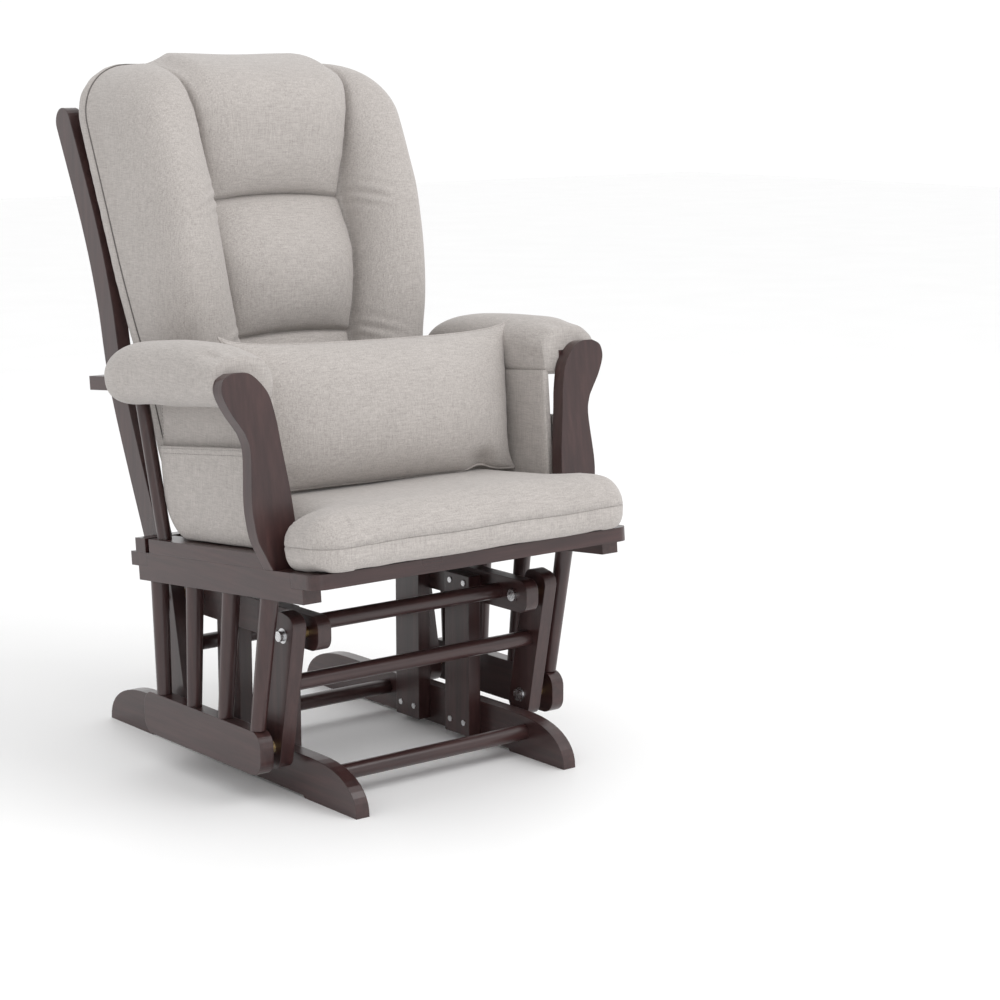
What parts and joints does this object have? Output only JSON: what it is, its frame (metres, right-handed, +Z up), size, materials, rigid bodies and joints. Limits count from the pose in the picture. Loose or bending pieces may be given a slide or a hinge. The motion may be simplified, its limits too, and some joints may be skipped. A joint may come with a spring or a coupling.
{
  "type": "glider nursery chair",
  "caption": "Glider nursery chair: fixed wooden base, swing arms and a gliding seat with padded arms, side pockets, tall back cushion, seat cushion and lumbar pillow.",
  "frame": {"origin": "floor level, in the middle of the chair's plan", "axes": "+Z up, the sitter faces -Y, +X is the sitter's left"},
  "size_m": [0.6858, 0.7482, 1.0508],
  "materials": {
    "wood": "dark cherry brown lacquer, semi-gloss",
    "cloth": "light grey-beige heathered weave",
    "steel": "plated",
    "brass": "satin"
  },
  "bodies": {
    "base": {"foot_left": "wood", "foot_right": "wood", "upright_front_left": "wood", "upright_front_right": "wood", "upright_rear_left": "wood", "upright_rear_right": "wood", "top_bar_left": "wood", "top_bar_right": "wood", "bar_dowel_front": "wood", "bar_dowel_rear": "wood", "foot_dowel_front": "wood", "foot_dowel_rear": "wood", "upright_screws": "steel", "top_pivot_bolts": "steel", "top_pivot_spacers": "brass"},
    "front_swing": {"front_swing_arm_left": "wood", "front_swing_arm_right": "wood", "front_swing_dowel": "wood", "front_arm_bearings": "steel"},
    "rear_swing": {"rear_swing_arm_left": "wood", "rear_swing_arm_right": "wood", "rear_swing_dowel": "wood", "rear_arm_bearings": "steel"},
    "seat": {"glide_rail_left": "wood", "glide_rail_right": "wood", "side_spindles_left": "wood", "side_spindles_right": "wood", "lower_pivot_bolts": "steel", "lower_pivot_spacers": "brass", "seat_rail_left": "wood", "seat_rail_right": "wood", "seat_front_board": "wood", "seat_rear_board": "wood", "seat_slats": "wood", "arm_base_left": "wood", "arm_base_right": "wood", "arm_plank_left": "wood", "arm_plank_right": "wood", "arm_board_left": "wood", "arm_board_right": "wood", "arm_spindle_left": "wood", "arm_spindle_right": "wood", "back_post_left": "wood", "back_post_right": "wood", "back_lower_board": "wood", "back_top_rail": "wood", "back_slats": "wood", "frame_bolts": "steel", "seat_cushion": "cloth", "back_cushion": "cloth", "arm_pad_left": "cloth", "arm_pad_right": "cloth", "arm_panel_left": "cloth", "arm_panel_right": "cloth", "side_pocket_left": "cloth", "side_pocket_right": "cloth"},
    "pillow": {"lumbar_pillow": "cloth"}
  },
  "joints": [
    {"name": "glide", "type": "hinge", "parent": "base", "child": "front_swing", "pos_m": [0, -0.2086, 0.247], "axis": [1, 0, 0], "range_deg": [-16, 16], "stiffness_Nm_per_rad": 200},
    {"name": "seat_pivot", "type": "hinge", "parent": "front_swing", "child": "seat", "pos_m": [0, -0.17578, 0.07816], "axis": [1, 0, 0], "range_deg": [-20.5, 20.5]},
    {"name": "rear_glide", "type": "hinge", "parent": "base", "child": "rear_swing", "pos_m": [0, 0.1114, 0.247], "axis": [1, 0, 0], "range_deg": [-16.5, 16.5]},
    {"name": "pillow_lift", "type": "slide", "parent": "seat", "child": "pillow", "axis": [0, 0, 1], "range_m": [0, 0.3]}
  ],
  "couplings": [
    {"joint": "seat_pivot", "follows": "glide", "ratio": -1.25},
    {"joint": "rear_glide", "follows": "glide", "ratio": 1}
  ]
}
